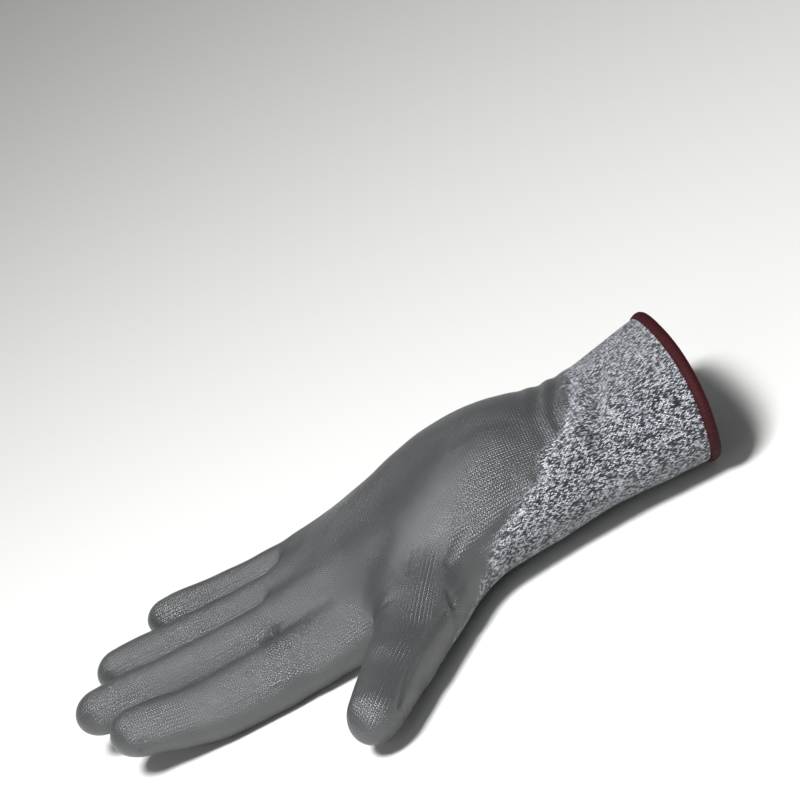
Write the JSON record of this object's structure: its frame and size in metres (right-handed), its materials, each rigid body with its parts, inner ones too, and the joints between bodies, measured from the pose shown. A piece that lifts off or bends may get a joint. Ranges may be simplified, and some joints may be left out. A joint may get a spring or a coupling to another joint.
{
  "type": "cut resistant glove",
  "caption": "Knitted cut resistant glove for the left hand with a dipped palm, stalls for the fingers and thumb, and an overlocked knit cuff.",
  "frame": {"origin": "The middle of the back of the hand, on the surface that the glove lies on.", "axes": "+Y runs from the wrist to the fingertips. +Z is out of the palm. +X is to the little finger's side."},
  "size_m": [0.149, 0.2526, 0.0476],
  "materials": {
    "melange_knit": "fine melange knit of black, white and grey yarn",
    "polyurethane": "thin matte polyurethane dip, the knit showing through",
    "hem_thread": "dark maroon overlock thread",
    "elastic_yarn": "covered elastic yarn",
    "ink": "screen printed ink"
  },
  "bodies": {
    "palm": {"palm_knit": "melange_knit", "palm_coating": "polyurethane", "thumb_root_coating": "polyurethane", "back_print": "ink", "wrist_fold": "melange_knit", "index_fold_1": "polyurethane", "middle_fold_1": "polyurethane", "ring_fold_1": "polyurethane", "little_fold_1": "polyurethane", "thumb_fold_1": "polyurethane"},
    "cuff": {"cuff_knit": "melange_knit", "cuff_elastic": "elastic_yarn", "cuff_hem": "hem_thread"},
    "index_base": {"index_base_knit": "melange_knit", "index_base_coating": "polyurethane", "index_fold_2": "polyurethane"},
    "index_middle": {"index_middle_knit": "melange_knit", "index_middle_coating": "polyurethane", "index_fold_3": "polyurethane"},
    "index_tip": {"index_tip_knit": "melange_knit", "index_tip_coating": "polyurethane"},
    "middle_base": {"middle_base_knit": "melange_knit", "middle_base_coating": "polyurethane", "middle_fold_2": "polyurethane"},
    "middle_middle": {"middle_middle_knit": "melange_knit", "middle_middle_coating": "polyurethane", "middle_fold_3": "polyurethane"},
    "middle_tip": {"middle_tip_knit": "melange_knit", "middle_tip_coating": "polyurethane"},
    "ring_base": {"ring_base_knit": "melange_knit", "ring_base_coating": "polyurethane", "ring_fold_2": "polyurethane"},
    "ring_middle": {"ring_middle_knit": "melange_knit", "ring_middle_coating": "polyurethane", "ring_fold_3": "polyurethane"},
    "ring_tip": {"ring_tip_knit": "melange_knit", "ring_tip_coating": "polyurethane"},
    "little_base": {"little_base_knit": "melange_knit", "little_base_coating": "polyurethane", "little_fold_2": "polyurethane"},
    "little_middle": {"little_middle_knit": "melange_knit", "little_middle_coating": "polyurethane", "little_fold_3": "polyurethane"},
    "little_tip": {"little_tip_knit": "melange_knit", "little_tip_coating": "polyurethane"},
    "thumb_base": {"thumb_base_knit": "melange_knit", "thumb_base_coating": "polyurethane", "thumb_fold_2": "polyurethane"},
    "thumb_tip": {"thumb_tip_knit": "melange_knit", "thumb_tip_coating": "polyurethane"}
  },
  "joints": [
    {"name": "wrist_bend", "type": "hinge", "parent": "palm", "child": "cuff", "pos_m": [-0.003, -0.0625, 0.02175], "axis": [-1, 0, 0], "range_deg": [-35, 35], "deforming": ["wrist_fold"]},
    {"name": "index_root_bend", "type": "hinge", "parent": "palm", "child": "index_base", "pos_m": [-0.03064, 0.06849, 0.01215], "axis": [0.9994, 0.0349, 0], "range_deg": [0, 70], "deforming": ["index_fold_1"]},
    {"name": "index_middle_bend", "type": "hinge", "parent": "index_base", "child": "index_middle", "pos_m": [-0.03141, 0.09073, 0.01254], "axis": [0.9994, 0.0349, 0], "range_deg": [0, 80], "deforming": ["index_fold_2"]},
    {"name": "index_end_bend", "type": "hinge", "parent": "index_middle", "child": "index_tip", "pos_m": [-0.03213, 0.11135, 0.0129], "axis": [0.9994, 0.0349, 0], "range_deg": [0, 45], "deforming": ["index_fold_3"]},
    {"name": "middle_root_bend", "type": "hinge", "parent": "palm", "child": "middle_base", "pos_m": [-0.00795, 0.071, 0.01615], "axis": [1, 0, 0], "range_deg": [0, 70], "deforming": ["middle_fold_1"]},
    {"name": "middle_middle_bend", "type": "hinge", "parent": "middle_base", "child": "middle_middle", "pos_m": [-0.00795, 0.09601, 0.01658], "axis": [1, 0, 0], "range_deg": [0, 80], "deforming": ["middle_fold_2"]},
    {"name": "middle_end_bend", "type": "hinge", "parent": "middle_middle", "child": "middle_tip", "pos_m": [-0.00795, 0.1192, 0.01699], "axis": [1, 0, 0], "range_deg": [0, 45], "deforming": ["middle_fold_3"]},
    {"name": "ring_root_bend", "type": "hinge", "parent": "palm", "child": "ring_base", "pos_m": [0.0134, 0.06804, 0.01615], "axis": [0.9994, -0.0349, 0], "range_deg": [0, 70], "deforming": ["ring_fold_1"]},
    {"name": "ring_middle_bend", "type": "hinge", "parent": "ring_base", "child": "ring_middle", "pos_m": [0.0142, 0.09097, 0.01655], "axis": [0.9994, -0.0349, 0], "range_deg": [0, 80], "deforming": ["ring_fold_2"]},
    {"name": "ring_end_bend", "type": "hinge", "parent": "ring_middle", "child": "ring_tip", "pos_m": [0.01494, 0.11223, 0.01692], "axis": [0.9994, -0.0349, 0], "range_deg": [0, 45], "deforming": ["ring_fold_3"]},
    {"name": "little_root_bend", "type": "hinge", "parent": "palm", "child": "little_base", "pos_m": [0.03331, 0.05998, 0.01615], "axis": [0.9976, -0.0698, 0], "range_deg": [0, 70], "deforming": ["little_fold_1"]},
    {"name": "little_middle_bend", "type": "hinge", "parent": "little_base", "child": "little_middle", "pos_m": [0.03457, 0.07804, 0.01646], "axis": [0.9976, -0.0698, 0], "range_deg": [0, 80], "deforming": ["little_fold_2"]},
    {"name": "little_end_bend", "type": "hinge", "parent": "little_middle", "child": "little_tip", "pos_m": [0.03574, 0.0948, 0.01676], "axis": [0.9976, -0.0698, 0], "range_deg": [0, 45], "deforming": ["little_fold_3"]},
    {"name": "thumb_root_bend", "type": "hinge", "parent": "palm", "child": "thumb_base", "pos_m": [-0.05903, 0.01848, 0.01507], "axis": [0.3642, 0.5331, -0.7637], "range_deg": [0, 40], "deforming": ["thumb_fold_1"]},
    {"name": "thumb_end_bend", "type": "hinge", "parent": "thumb_base", "child": "thumb_tip", "pos_m": [-0.07908, 0.0296, 0.01326], "axis": [0.3642, 0.5331, -0.7637], "range_deg": [0, 60], "deforming": ["thumb_fold_2"]}
  ]
}
